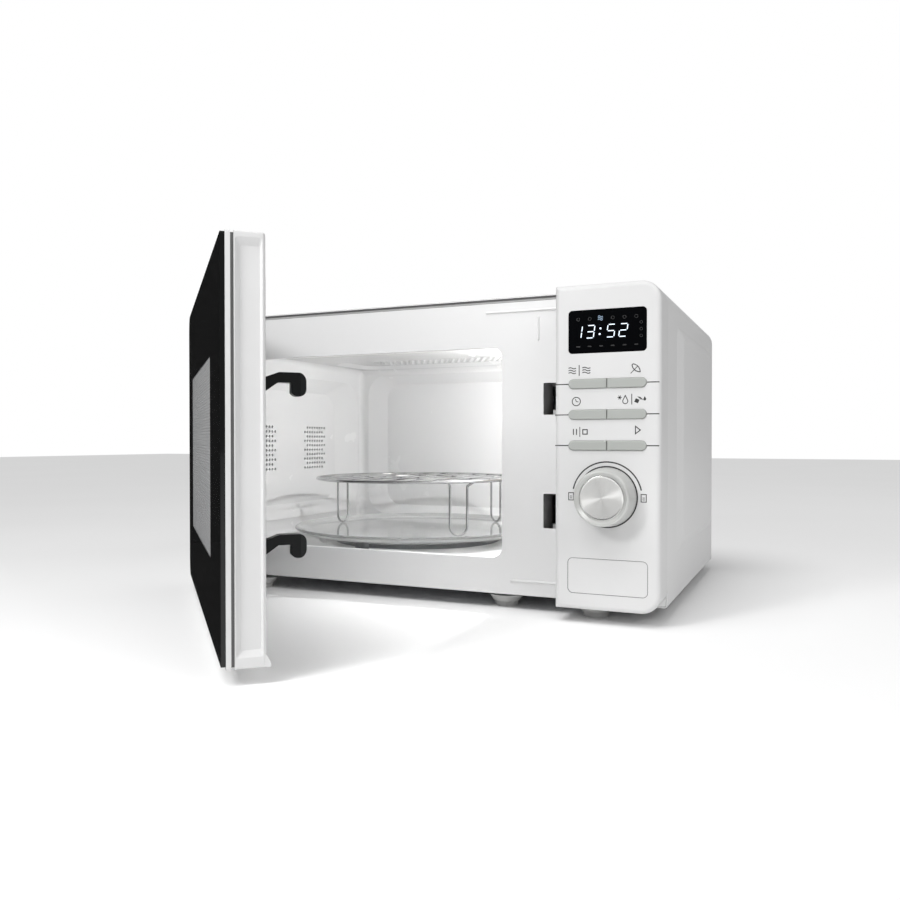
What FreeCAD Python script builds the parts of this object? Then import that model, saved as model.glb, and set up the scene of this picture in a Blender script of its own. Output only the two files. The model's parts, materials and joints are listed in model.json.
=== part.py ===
import FreeCAD, Part
import math
import os

# Compact microwave oven with a grill element, millimetres.
# The origin is on the worktop at the centre of the four corner feet: +X to the control
# panel side, +Y to the rear, +Z up. The door stands part open in the rest pose.

Vector = FreeCAD.Vector

# Cabinet
half_width = 220.0
cabinet_bottom = 11.0
cabinet_top = 259.0
corner_radius = 15.0
bottom_corner = 2.5
front_face_y = -158.0
seam_y = -127.0
rear_y = 158.0
sheet = 1.0
emboss_height = 3.2
emboss_y = (-84.5, 132.0)
emboss_z = (50.0, 233.0)

# Front plate, with the cavity mouth and the two latch slots
plate_front_y = -127.2
plate_back_y = -126.0
plate_top = 254.5
mouth_x = (-200.5, 84.5)
mouth_z = (41.8, 217.9)
mouth_radius = 9.0
latch_slot_x = (120.4, 136.0)
upper_slot_z = (161.2, 187.2)
lower_slot_z = (68.6, 96.8)

# Cavity
cavity_x = (-206.0, 90.0)
cavity_rear_y = 139.0
cavity_floor_z = 38.0
cavity_ceiling_z = 228.5
wall_recess = 8.0
track_floor_z = 32.5
track_radius = 104.0
wall_span_z = (31.0, 240.0)
vent_pitch = 5.1
vent_columns, vent_rows = 8, 10
vent_first_z = 109.2
vent_starts_y = ((-67.3, -vent_pitch), (25.1, vent_pitch))
ceiling_recess = 4.0
ceiling_recess_x = (-192.0, 80.0)
ceiling_recess_y = (40.0, 132.0)

# Turntable
table_x = -58.0
table_y = 4.0
tray_radius = 127.5
tray_underside = 45.5
tray_face = 49.5
tray_rim = 53.0
roller_radius = 6.4
roller_span = (88.0, 95.0)
roller_axle_z = 39.0
axle_radius = 1.8
running_clearance = 0.05
rack_radius = 104.5
rack_top = 103.0
rack_wire = 1.5
leg_wire = 1.2
leg_ring_radius = 98.0
leg_angles = (-41.0, 55.0, 175.0)

# Control panel
fascia_left = 139.3
fascia_wall = 2.5
fascia_front = 3.0
edge_rounding = 4.0
display_x = (150.2, 209.5)
display_z = (206.5, 239.2)
display_radius = 3.0
key_row_x = (150.2, 209.7)
key_rows_z = (183.3, 159.9, 136.4)
key_height = 7.6
key_gap = 0.2
key_standout = 1.2
panel_centre_x = 180.0
knob_z = 97.7
knob_base_radius = 22.3
knob_rim_radius = 20.8
knob_front_y = -177.0
knob_seat_depth = 3.6
disc_radius = 16.6
shaft_radius = 3.0
release_x = (149.7, 210.8)
release_z = (23.4, 50.6)
release_radius = 4.0
groove = 0.4
seam_width, seam_depth = 0.8, 1.2
board_y = -146.0
key_names = ("key_microwave", "key_saver", "key_clock", "key_defrost", "key_pause", "key_start")

# Door, drawn closed and then turned open about its hinge line
door_x = (-220.0, 138.2)
door_z = (10.3, 259.0)
glass_z = (12.0, 258.0)
glass_depth = 2.7
flange_depth = 5.7
groove_depth = 7.6
rim_depth = 25.4
door_open = 45.7
hinge_x = -211.2
hinge_y = -138.1
hinge_pin_radius = 3.0
window_x = (-163.5, 58.3)
window_z = (63.0, 195.5)
pan_x = (-196.8, 102.8)
pan_z = (25.2, 244.8)
left_round = (corner_radius, 1.0, 1.0, corner_radius)
hook_x = (126.5, 133.5)
hook_pitch = 94.7
spring_z = (184.2, 213.8)

# Interlock behind the front plate
slider_x = (125.5, 134.5)
slider_y = (-105.0, -101.5)
nose_bottom = 166.1
finger_gap = 0.5
wedge_y = -104.0

# Machine space
waveguide_y = (-25.0, 60.0)
waveguide_z = (118.0, 190.0)
lamp_y, lamp_z = -70.0, 196.0
magnetron_x = 121.0
transformer_y = (15.0, 95.0)
fan_x, fan_z = 158.0, 150.0
fan_blade_y = (128.0, 146.0)
grill_rows_y = (62.0, 106.0)
grill_z = 240.5
gland_x, gland_z = 176.0, 34.0

# Feet
foot_x = 163.0
foot_y = 122.0
pad_radius = 10.0
middle_foot = (82.0, -108.0)


# ---------------------------------------------------------------- drawing helpers

def on_front(y):
    """Place a flat outline drawn in (x, z) at depth y."""
    return lambda a, b: Vector(a, y, b)


def on_side(x):
    """Place a flat outline drawn in (y, z) at x."""
    return lambda a, b: Vector(x, a, b)


def on_top(z):
    """Place a flat outline drawn in (x, y) at height z."""
    return lambda a, b: Vector(a, b, z)


def rounded_outline(span_a, span_b, radii, place):
    """Closed wire of a rectangle; radii run from the low corner, anticlockwise."""
    if not isinstance(radii, tuple):
        radii = (radii,) * 4
    (a0, a1), (b0, b1) = span_a, span_b
    corners = [(a0, b0, 1, 1), (a1, b0, -1, 1), (a1, b1, -1, -1), (a0, b1, 1, -1)]
    starts = [(0, 1), (1, 0), (0, -1), (-1, 0)]
    points = []
    for index, (a, b, toward_a, toward_b) in enumerate(corners):
        radius = radii[index]
        centre = (a + toward_a * radius, b + toward_b * radius)
        along_b = (a, centre[1])
        along_a = (centre[0], b)
        middle = (centre[0] - toward_a * radius * math.sqrt(0.5),
                  centre[1] - toward_b * radius * math.sqrt(0.5))
        first, last = (along_b, along_a) if index % 2 == 0 else (along_a, along_b)
        points.append((first, middle, last, radius))
    edges = []
    for index, (first, middle, last, radius) in enumerate(points):
        if radius > 0:
            edges.append(Part.Arc(place(*first), place(*middle), place(*last)).toShape())
        following = points[(index + 1) % 4][0]
        if math.dist(last, following) > 1e-6:
            edges.append(Part.makeLine(place(*last), place(*following)))
    return Part.Wire(edges)


def circle_outline(a, b, radius, place):
    centre = place(a, b)
    normal = (place(a + 1, b) - centre).cross(place(a, b + 1) - centre)
    return Part.Wire([Part.makeCircle(radius, centre, normal)])


def extrude(outlines, direction):
    """Solid from one outer outline, with any further outlines as holes."""
    return Part.makeFace(outlines, "Part::FaceMakerBullseye").extrude(direction)


def front_slab(span_x, span_z, y0, y1, radii=0.0, holes=()):
    outlines = [rounded_outline(span_x, span_z, radii, on_front(y0)), *holes]
    return extrude(outlines, Vector(0, y1 - y0, 0))


def box(span_x, span_y, span_z):
    corner = Vector(span_x[0], span_y[0], span_z[0])
    return Part.makeBox(span_x[1] - span_x[0], span_y[1] - span_y[0], span_z[1] - span_z[0], corner)


def rod(start, end, radius):
    start, end = Vector(*start), Vector(*end)
    return Part.makeCylinder(radius, (end - start).Length, start, end - start)


def loft(first, second):
    return Part.makeLoft([first, second], True, True)


def joined(shapes):
    shapes = list(shapes)
    return shapes[0].multiFuse(shapes[1:]).removeSplitter() if len(shapes) > 1 else shapes[0]


def cut(shape, tools):
    return shape.cut(Part.makeCompound(list(tools)))


def group(shapes):
    """Separate solids kept in one node."""
    return Part.makeCompound([solid for shape in shapes for solid in shape.Solids])


def turned(profile, centre, axis):
    """Solid of revolution; profile holds (radius, height) points along the axis."""
    points = [Vector(r, 0, h) for r, h in profile]
    face = Part.Face(Part.makePolygon(points + points[:1]))
    solid = face.revolve(Vector(0, 0, 0), Vector(0, 0, 1), 360)
    solid.Placement = FreeCAD.Placement(Vector(*centre), FreeCAD.Rotation(Vector(0, 0, 1), Vector(*axis)))
    return solid


def prism(points, place, direction):
    corners = [place(*point) for point in points]
    return Part.Face(Part.makePolygon(corners + corners[:1])).extrude(direction)


def grow(span, amount):
    return (span[0] - amount, span[1] + amount)


def spin_z(shape, angle, x=table_x, y=table_y):
    copy = shape.copy()
    copy.rotate(Vector(x, y, 0), Vector(0, 0, 1), angle)
    return copy


def grid(count, pitch):
    return [(index - (count - 1) / 2) * pitch for index in range(count)]


# ---------------------------------------------------------------- cabinet

def cover_corners(inset):
    """Corner radii of the cover's outline: tight along the bottom, wide along the top."""
    return (bottom_corner - inset,) * 2 + (corner_radius - inset,) * 2


def make_outer_cover():
    """Folded sheet wrap: top, two embossed sides and the turned-under lower edges."""
    span_x, span_z = (-half_width, half_width), (cabinet_bottom, cabinet_top)
    length = Vector(0, rear_y - seam_y, 0)
    outside = extrude([rounded_outline(span_x, span_z, cover_corners(0), on_front(seam_y))], length)
    inside = extrude([rounded_outline(grow(span_x, -sheet), grow(span_z, -sheet), cover_corners(sheet),
                                      on_front(seam_y))], length)
    turn_under = half_width - corner_radius - 12
    gap = box((-turn_under, turn_under), (seam_y, rear_y), (cabinet_bottom - 1, cabinet_bottom + 5))
    raised, hollows = [], []
    for side in (-1, 1):
        for shapes, inset in ((raised, 0.0), (hollows, sheet)):
            foot = rounded_outline(grow(emboss_y, -inset), grow(emboss_z, -inset), 12,
                                   on_side(side * (half_width - inset)))
            crest = rounded_outline((emboss_y[0] + 18 - inset / 2, emboss_y[1] - 8 - inset / 2),
                                    (emboss_z[0] + 8 + inset / 2, emboss_z[1] - 8 - inset / 2), 6,
                                    on_side(side * (half_width + emboss_height - inset)))
            shapes.append(loft(foot, crest))
    cover = cut(outside, [inside, gap])
    return cut(joined([cover, *raised]), hollows)


def make_base_plate():
    """Floor sheet with vents under the machine space and a hole for each foot's stem."""
    vents = [rounded_outline((110 + step * 9, 114 + step * 9), (-60, -10), 2, on_top(12.0))
             for step in range(9)]
    stems = [circle_outline(x, y, 3.2, on_top(12.0)) for x, y in foot_places()]
    outline = rounded_outline((-205, 205), (plate_back_y, rear_y - sheet), 3, on_top(12.0))
    return extrude([outline, *vents, *stems], Vector(0, 0, sheet))


def foot_places():
    corners = [(sx * foot_x, sy * foot_y) for sx in (-1, 1) for sy in (-1, 1)]
    return corners + [middle_foot]


def make_feet():
    """Tapered feet: a round pad, a flared skirt, a collar on the base sheet and a stem."""
    skirt, skirt_top, collar = 15.0, door_z[0] - 0.6, 4.5
    profile = [(0, 0), (pad_radius, 0), (pad_radius, 4), (pad_radius + 1.5, 4.4), (skirt, skirt_top),
               (collar, skirt_top), (collar, 12), (3.0, 12), (3.0, 15), (0, 15)]
    return group(turned(profile, (x, y, 0), (0, 0, 1)) for x, y in foot_places())


def make_rear_panel():
    """Rear sheet with the fan's inlet grille, side vents and the cord gland's hole."""
    span_x, span_z = (-half_width + 1.2, half_width - 1.2), (cabinet_bottom + 1.2, cabinet_top - 1.2)
    at = on_front(rear_y - sheet)
    holes = [circle_outline(fan_x + dx, fan_z + dz, 2.4, at)
             for dx in grid(13, 6.5) for dz in grid(13, 6.5) if math.hypot(dx, dz) < 40]
    holes += [rounded_outline((-170 + step * 12, -165 + step * 12), (190, 225), 2.5, at)
              for step in range(14)]
    holes.append(circle_outline(gland_x, gland_z, 7.1, at))
    holes += [circle_outline(x, z, 1.7, at) for x, z in rear_screws()]
    return front_slab(span_x, span_z, rear_y - sheet, rear_y, cover_corners(1.2), holes)


def rear_screws():
    return [(-205, 245), (0, 250), (205, 245), (-205, 30), (60, 20), (205, 60)]


def make_cover_screws():
    """Pan-head screws through the rear sheet."""
    screws = []
    for x, z in rear_screws():
        head = turned([(0, 0), (3.4, 0), (3.2, 1.4), (2.2, 2.0), (0, 2.0)], (x, rear_y, z), (0, 1, 0))
        shank = rod((x, rear_y - 6, z), (x, rear_y, z), 1.5)
        slots = [box((x - 1.8, x + 1.8), (rear_y + 1.2, rear_y + 3), (z - 0.3, z + 0.3)),
                 box((x - 0.3, x + 0.3), (rear_y + 1.2, rear_y + 3), (z - 1.8, z + 1.8))]
        screws.append(cut(joined([head, shank]), slots))
    return group(screws)


def make_cord_gland():
    """Flanged bush that the mains lead passes through."""
    profile = [(3.6, -6), (7.0, -6), (7.0, 0), (9.5, 0), (9.5, 2), (6.5, 4), (5.5, 12), (3.6, 12)]
    return turned(profile, (gland_x, rear_y, gland_z), (0, 1, 0))


def make_rear_spacers():
    """Two moulded stand-offs that keep the rear grille away from a wall."""
    profile = [(0, 0), (9, 0), (8, 11), (7, 12), (0, 12)]
    return group(turned(profile, (x, rear_y, 236), (0, 1, 0)) for x in (-120, 120))


# ---------------------------------------------------------------- front plate and cavity

def rib(start, end, width=1.0):
    """Low half-round bead pressed forward from the plate."""
    ends = [Vector(start[0], plate_front_y, start[1]), Vector(end[0], plate_front_y, end[1])]
    bead = rod(tuple(ends[0]), tuple(ends[1]), width)
    return joined([bead, *[Part.makeSphere(width, point) for point in ends]])


def make_front_plate():
    """Enamelled face of the cavity, with a rolled lip round the mouth."""
    at = on_front(plate_front_y)
    mouth = rounded_outline(mouth_x, mouth_z, mouth_radius, at)
    slots = [rounded_outline(latch_slot_x, span, 0.8, at) for span in (upper_slot_z, lower_slot_z)]
    board_window = rounded_outline((146, 214), (62, 246), 3, at)
    button_window = rounded_outline((147, 213), (22, 52), 3, at)
    plate = front_slab(grow((-half_width, half_width), -1.3), (cabinet_bottom + 1.3, plate_top),
                       plate_front_y, plate_back_y, (1.2, 1.2, 10, 10),
                       [mouth, *slots, board_window, button_window])
    lip_back = plate_back_y + 6
    lip_outer = rounded_outline(grow(mouth_x, sheet), grow(mouth_z, sheet), mouth_radius + sheet,
                                on_front(plate_back_y))
    lip_inner = rounded_outline(mouth_x, mouth_z, mouth_radius, on_front(plate_back_y))
    lip = extrude([lip_outer, lip_inner], Vector(0, lip_back - plate_back_y, 0))
    ribs = [rib((71, 247), (138, 247)), rib((116, 223), (116, 241)), rib((93, 24), (138, 24))]
    front_half = box((60, 140), (plate_front_y - 3, plate_back_y), (10, 258))
    beads = [bead.common(front_half) for bead in ribs]
    return joined([plate, lip, *beads])


def pressed_wall(outline_at, wall, mouth, pan, depth, holes, outward):
    """Sheet wall with a panel pressed outward.

    outline_at(d) places a flat outline d behind the wall's inner face. wall is (span_a, span_b);
    mouth and pan are (span_a, span_b, radius) of the recess at the face and at its floor.
    """
    (a, b, radius), (c, d, pan_radius) = mouth, pan
    shell = extrude([rounded_outline(*wall, 0.0, outline_at(0)),
                     rounded_outline(a, b, radius, outline_at(0))], outward * sheet)
    outside = loft(rounded_outline(grow(a, sheet), grow(b, sheet), radius + sheet, outline_at(0)),
                   rounded_outline(grow(c, sheet), grow(d, sheet), pan_radius + sheet,
                                   outline_at(depth + sheet)))
    inside = loft(rounded_outline(a, b, radius, outline_at(0)),
                  rounded_outline(c, d, pan_radius, outline_at(depth)))
    pressed = joined([shell, outside.cut(inside)])
    drills = [Part.Face(hole).extrude(outward * 2 * sheet) for hole in holes]
    return cut(pressed, drills) if drills else pressed


def make_left_wall():
    """Left cavity wall: a shallow recessed panel with two staggered vent clusters."""
    x = cavity_x[0]
    at = on_side(x - wall_recess + 0.5)
    holes = []
    for start, stagger in vent_starts_y:
        for row in range(vent_rows):
            first = start + (stagger if row % 2 else 0.0)
            holes += [circle_outline(first + column * vent_pitch, vent_first_z + row * vent_pitch, 1.5, at)
                      for column in range(vent_columns)]
    return pressed_wall(lambda depth: on_side(x - depth),
                        ((plate_back_y, cavity_rear_y + sheet), wall_span_z),
                        ((-112.0, 131.0), (55.0, 211.0), 30.0), ((-97.0, 89.0), (70.0, 195.0), 24.0),
                        wall_recess, holes, Vector(-1, 0, 0))


def make_rear_wall():
    """Rear cavity wall with a recessed panel."""
    return pressed_wall(lambda depth: on_front(cavity_rear_y + depth), (cavity_x, wall_span_z),
                        ((-195.0, 79.0), (49.0, 222.0), 25.0), ((-172.0, 56.0), (60.0, 210.0), 18.0),
                        wall_recess, [], Vector(0, 1, 0))


def make_right_wall():
    """Right cavity wall: waveguide port and the lamp's perforations."""
    at = on_side(cavity_x[1])
    port = rounded_outline(grow(waveguide_y, -12), grow(waveguide_z, -12), 4, at)
    lamp = [circle_outline(lamp_y + dy, lamp_z + dz, 1.5, at)
            for dy in grid(5, 5.0) for dz in grid(4, 5.0)]
    outline = rounded_outline((plate_back_y, cavity_rear_y + sheet), wall_span_z, 0.0, at)
    return extrude([outline, port, *lamp], Vector(sheet, 0, 0))


def make_ceiling():
    """Cavity ceiling, pressed up at the rear and perforated there below the grill element."""
    pan_span_x, pan_span_y = grow(ceiling_recess_x, -6.0), grow(ceiling_recess_y, -6.0)
    centre_x, centre_y = sum(pan_span_x) / 2, sum(pan_span_y) / 2
    at = on_top(cavity_ceiling_z + ceiling_recess - 0.5)
    pitch = 7.4
    holes = []
    for row, dy in enumerate(grid(10, pitch)):
        shift = pitch / 4 if row % 2 else -pitch / 4
        holes += [circle_outline(centre_x + shift + dx, centre_y + dy, 2.5, at) for dx in grid(27, pitch)]
    return pressed_wall(lambda depth: on_top(cavity_ceiling_z + depth),
                        (cavity_x, (plate_back_y, cavity_rear_y)),
                        (ceiling_recess_x, ceiling_recess_y, 22.0), (pan_span_x, pan_span_y, 16.0),
                        ceiling_recess, holes, Vector(0, 0, 1))


def make_floor():
    """Cavity floor with the round roller track and the coupler's hole."""
    plate = box(cavity_x, (plate_back_y, cavity_rear_y), (cavity_floor_z - sheet, cavity_floor_z))
    drop = cavity_floor_z - track_floor_z
    profile = [(7, -sheet), (track_radius - 4, -sheet), (track_radius, drop), (track_radius - sheet, drop),
               (track_radius - 4 - sheet, 0), (7, 0)]
    dish = turned(profile, (table_x, table_y, track_floor_z), (0, 0, 1))
    opening = rod((table_x, table_y, 20), (table_x, table_y, 60), track_radius - sheet / 2)
    return joined([plate.cut(opening), dish])


# ---------------------------------------------------------------- machine space

def make_waveguide_cover():
    """Mica sheet over the waveguide's port."""
    x = cavity_x[1]
    return extrude([rounded_outline(grow(waveguide_y, 2), grow(waveguide_z, 2), 3, on_side(x - 0.5))],
                   Vector(0.5, 0, 0))


def make_waveguide():
    """Folded duct from the magnetron's antenna to the cavity wall."""
    x0, x1 = cavity_x[1] + sheet, magnetron_x
    duct = box((x0, x1), waveguide_y, waveguide_z)
    hollow = box((x0, x1 - sheet), grow(waveguide_y, -sheet), grow(waveguide_z, -sheet))
    middle_y, middle_z = sum(waveguide_y) / 2, sum(waveguide_z) / 2
    antenna_hole = rod((x1 - 5, middle_y, middle_z), (x1 + 5, middle_y, middle_z), 11)
    return cut(duct, [hollow, antenna_hole])


def make_magnetron():
    """Steel yoke with two ring magnets, the anode block and the antenna dome."""
    y, z, x = sum(waveguide_y) / 2, sum(waveguide_z) / 2, magnetron_x
    yoke = box((x, x + 62), (y - 38, y + 38), (z - 30, z + 30))
    throat = box((x + 2, x + 60), (y - 40, y + 40), (z - 28, z + 28))
    magnets = [turned([(17, 0), (26, 0), (26, 12), (17, 12)], (x + start, y, z), (1, 0, 0))
               for start in (2, 48)]
    profile = [(0, -16), (5, -16), (7, -12), (7, -4), (10, -2), (10, 2), (16, 14), (16, 48), (12, 60),
               (0, 60)]
    anode = turned(profile, (x, y, z), (1, 0, 0))
    filament_box = box((x + 62, x + 76), (y - 18, y + 18), (z - 18, z + 18))
    body = joined([cut(yoke, [throat]), *magnets, anode])
    return group([body, filament_box])


def make_cooling_fins():
    """Pressed aluminium fins round the anode."""
    y, z, x = sum(waveguide_y) / 2, sum(waveguide_z) / 2, magnetron_x
    fins = []
    for step in range(8):
        at = x + 16 + step * 4.2
        plate = extrude([rounded_outline((y - 33, y + 33), (z - 25, z + 25), 3, on_side(at)),
                         circle_outline(y, z, 16.2, on_side(at))], Vector(0.8, 0, 0))
        fins.append(plate)
    return group(fins)


def make_transformer_core():
    """Stacked steel laminations with two winding windows, standing on the base sheet."""
    at = on_side(118.0)
    y0, y1 = transformer_y
    windows = [rounded_outline(span, (26, 70), 1, at) for span in ((y0 + 12, y0 + 28), (y1 - 28, y1 - 12))]
    core = extrude([rounded_outline((y0, y1), (13, 84), 1, at), *windows], Vector(62, 0, 0))
    foot = box((112, 186), (y0 + 4, y1 - 4), (13, 15.5))
    return joined([core, foot])


def make_transformer_windings():
    """Two coils round the core's middle leg, one above the other."""
    y0, y1 = transformer_y
    coils = []
    for low, high in ((27, 46), (48, 69)):
        outer = rounded_outline((104, 194), (y0 + 12.4, y1 - 12.4), 8, on_top(low))
        inner = rounded_outline((117.6, 180.4), (y0 + 27.6, y1 - 27.6), 1, on_top(low))
        coils.append(extrude([outer, inner], Vector(0, 0, high - low)))
    return group(coils)


def make_capacitor():
    """Oval high-voltage capacitor with two blade terminals."""
    can = extrude([rounded_outline((128, 208), (-92, -62), 14.9, on_top(14.0))], Vector(0, 0, 32))
    tabs = [box((x, x + 6), (-78, -77.2), (46, 56)) for x in (146, 184)]
    return joined([can, *tabs])


def make_fan_housing():
    """Duct ring round the blades, on a plate against the rear sheet, with motor arms."""
    y0, y1 = 126.0, rear_y - sheet
    ring = turned([(50, 0), (53, 0), (53, y1 - y0), (50, y1 - y0)], (fan_x, y0, fan_z), (0, 1, 0))
    flange = extrude([rounded_outline((98, 217), (92, 208), 6, on_front(y1 - 2)),
                      circle_outline(fan_x, fan_z, 50, on_front(y1 - 2))], Vector(0, 2, 0))
    arms = [box((fan_x - 53, fan_x - 19), (y0, y0 + 2), (fan_z - 3, fan_z + 3)),
            box((fan_x + 19, fan_x + 53), (y0, y0 + 2), (fan_z - 3, fan_z + 3))]
    rings = [circle_outline(fan_x, fan_z, radius, on_front(y0)) for radius in (22, 6)]
    mount = extrude(rings, Vector(0, 2, 0))
    return joined([ring, flange, mount, *arms])


def make_fan_motor():
    """Shaded-pole motor in front of the fan, with its shaft."""
    y1 = 126.0
    stack = box((fan_x - 26, fan_x + 26), (y1 - 22, y1 - 6), (fan_z - 30, fan_z + 24))
    coil = box((fan_x - 15, fan_x + 15), (y1 - 26, y1 - 2), (fan_z - 46, fan_z - 30))
    bell = rod((fan_x, y1 - 26, fan_z), (fan_x, y1, fan_z), 14)
    shaft = rod((fan_x, y1, fan_z), (fan_x, fan_blade_y[1] - 1, fan_z), 2.0)
    return joined([stack, coil, bell, shaft])


def make_fan_blade():
    """Seven pitched blades on a hub that runs on the motor's shaft."""
    y0, y1 = fan_blade_y
    blades = []
    for step in range(7):
        blade = box((fan_x + 9, fan_x + 46), (y0 + 7, y0 + 8.4), (fan_z - 11, fan_z + 11))
        blade.rotate(Vector(fan_x, y0 + 7.7, fan_z), Vector(1, 0, 0), 32)
        blade.rotate(Vector(fan_x, 0, fan_z), Vector(0, 1, 0), step * 360 / 7)
        blades.append(blade)
    hub = rod((fan_x, y0 + 1, fan_z), (fan_x, y1, fan_z), 12)
    bore = rod((fan_x, y0, fan_z), (fan_x, y1 - 0.9, fan_z), 2.0 + running_clearance)
    return joined([hub, *blades]).cut(bore)


def make_lamp():
    """Socket block on the right cavity wall with its small screw-base bulb."""
    x = cavity_x[1] + sheet
    block = box((x, x + 8), (lamp_y - 13, lamp_y + 13), (lamp_z + 12, lamp_z + 26))
    arm = box((x + 8, x + 30), (lamp_y - 9, lamp_y + 9), (lamp_z + 14, lamp_z + 26))
    bulb_x, top = x + 19, lamp_z + 14
    base = rod((bulb_x, lamp_y, top - 10), (bulb_x, lamp_y, top), 6.5)
    envelope = turned([(0, 0), (5, 1.2), (9, 6), (10, 11), (9, 16), (6.4, 21), (6.4, 23), (0, 23)],
                      (bulb_x, lamp_y, top - 32), (0, 0, 1))
    return group([joined([block, arm]), joined([base, envelope])])


def make_grill_heater():
    """Sheathed element bent in a U, with its terminals."""
    z, x0, x1 = grill_z, -150.0, 40.0
    rods = [rod((x0, y, z), (x1 + 8, y, z), 3.2) for y in grill_rows_y]
    radius = (grill_rows_y[1] - grill_rows_y[0]) / 2
    middle = sum(grill_rows_y) / 2
    bend = Part.makeTorus(radius, 3.2, Vector(x0, middle, z), Vector(0, 0, 1))
    bend = bend.common(box((x0 - radius - 5, x0), (middle - radius - 5, middle + radius + 5), (z - 5, z + 5)))
    caps = [rod((x1 + 8, y, z), (x1 + 18, y, z), 4.6) for y in grill_rows_y]
    return joined([bend, *rods, *caps])


def make_grill_reflector():
    """Pressed steel box over the element."""
    low, high = cavity_ceiling_z + ceiling_recess + sheet, 251.0
    span_x, span_y = (-182, 72), (48, 124)
    hollow = box(grow(span_x, -sheet), grow(span_y, -sheet), (low, high - sheet))
    return box(span_x, span_y, (low, high)).cut(hollow)


def make_turntable_motor():
    """Flat synchronous motor under the cavity floor, with its drive shaft."""
    body = rod((table_x, table_y, 13.2), (table_x, table_y, 28), 24)
    ears = box((table_x - 34, table_x + 34), (table_y - 6, table_y + 6), (26.5, 28))
    shaft = rod((table_x, table_y, 28), (table_x, table_y, 38), 3.0)
    return joined([body, ears, shaft])


def make_filter_board():
    """Mains filter board with its choke, fuse and capacitor, above the fan."""
    board = box((104, 206), (96, 150), (214, 215.6))
    choke = turned([(5, 0), (13, 0), (13, 12), (5, 12)], (128, 122, 215.6), (0, 0, 1))
    fuse = rod((150, 112, 219.2), (176, 112, 219.2), 4.0)
    block = box((184, 202), (112, 138), (215.6, 232))
    return joined([board, choke, fuse, block])


# ---------------------------------------------------------------- interlock

def make_latch_bracket():
    """Moulded frame behind the front plate: hook slots, slider guides and switch web."""
    back = -98.0
    flange = front_slab((108, 142), (56, 200), plate_back_y, plate_back_y + 2, 2,
                        [rounded_outline(grow(latch_slot_x, 0.5), grow(span, 0.5), 1, on_front(plate_back_y))
                         for span in (upper_slot_z, lower_slot_z)])
    web = box((138.5, 141), (plate_back_y + 2, back), (56, 200))
    inner_web = box((117.0, 119.5), (plate_back_y + 2, back), (56, 200))
    bridges = [box((119.5, 138.5), (slider_y[1] + 0.3, back), (z, z + 14)) for z in (56, 122, 186)]
    return joined([flange, web, inner_web, *bridges])


def make_microswitches():
    """Three snap-action switches on the bracket's web, with their levers."""
    switches = []
    for z in (74, 118, 168):
        body = box((141.2, 147.5), (-121, -101), (z, z + 10))
        lever = box((142.2, 146.5), (-123.5, -122.9), (z + 1, z + 9))
        neck = box((143, 145.5), (-123, -120.8), (z + 7, z + 9))
        switches.append(joined([body, lever, neck]))
    return group(switches)


def make_release_slider():
    """Upright slider whose fingers lift the door's hooks out of their slots."""
    bar = box(slider_x, slider_y, (30, 178))
    fingers = []
    for drop in (0, hook_pitch):
        top = nose_bottom - finger_gap - drop
        fingers.append(box(slider_x, (-116.5, slider_y[0]), (top - 4, top)))
    ramp = prism([(wedge_y - 6.0, 44.0), (wedge_y + 2.5, 44.0), (wedge_y + 2.5, 31.25)],
                 on_side(slider_x[0]), Vector(160 - slider_x[0], 0, 0))
    cap = box((slider_x[0], 160), (wedge_y - 6.0, wedge_y + 2.5), (44.0, 47.0))
    return joined([bar, *fingers, ramp, cap])


def make_release_button():
    """Door-release button with a wedge-ended stem that raises the slider."""
    y0, y1 = front_face_y + 0.1, front_face_y + 2.6
    face = front_slab(grow(release_x, -groove), grow(release_z, -groove), y0, y1, release_radius - groove)
    skirt_walls = [rounded_outline(grow(release_x, -groove - inset), grow(release_z, -groove - inset),
                                   radius, on_front(y1)) for inset, radius in ((1, 2.6), (2.6, 1.2))]
    skirt = extrude(skirt_walls, Vector(0, 7, 0))
    gap = 0.3
    tip = [(y1, 33.5), (y1, 40.5), (wedge_y - 6.0 + 2.3 - gap, 40.5), (wedge_y + 2.5 - 1.5 - gap, 33.5)]
    stem = prism(tip, on_side(151.0), Vector(8, 0, 0))
    return joined([face, skirt, stem])


# ---------------------------------------------------------------- control panel

def make_fascia():
    """Moulded panel: a shell with a rounded front edge, key slots and shallow seam lines."""
    x_span, z_span = (fascia_left, half_width), (cabinet_bottom, cabinet_top)
    radii = (0.5, corner_radius, corner_radius, 0.5)
    body = front_slab(x_span, z_span, front_face_y, plate_front_y, radii)
    right_edges = [edge for edge in body.Edges
                   if edge.BoundBox.YMax < front_face_y + 0.01 and edge.BoundBox.XMin > half_width - 16]
    body = body.makeFillet(edge_rounding, right_edges)
    hollow = front_slab(grow(x_span, -fascia_wall), grow(z_span, -fascia_wall),
                        front_face_y + fascia_front, plate_front_y, (0.5, 12.5, 12.5, 0.5))
    wells = [front_slab(grow(display_x, 0.15), grow(display_z, 0.15), front_face_y, front_face_y + 2,
                        display_radius + 0.15),
             front_slab(grow(display_x, -2.5), grow(display_z, -2.5), front_face_y, front_face_y + 4, 1.5),
             front_slab(release_x, release_z, front_face_y, front_face_y + 4, release_radius),
             rod((panel_centre_x, front_face_y - 1, knob_z), (panel_centre_x, front_face_y + 5, knob_z), 6.0)]
    for row_z in key_rows_z:
        row_span = (row_z - key_height / 2, row_z + key_height / 2)
        wells.append(front_slab(key_row_x, row_span, front_face_y, front_face_y + 4, key_height / 2 - 0.01))
        cut_y, cut_z = (front_face_y - 1, front_face_y + seam_depth), grow((row_z, row_z), seam_width / 2)
        wells += [box((fascia_left - 1, key_row_x[0] + 1), cut_y, cut_z),
                  box((key_row_x[1] - 1, half_width + 1), cut_y, cut_z)]
    return cut(cut(body, [hollow]), wells)


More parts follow.
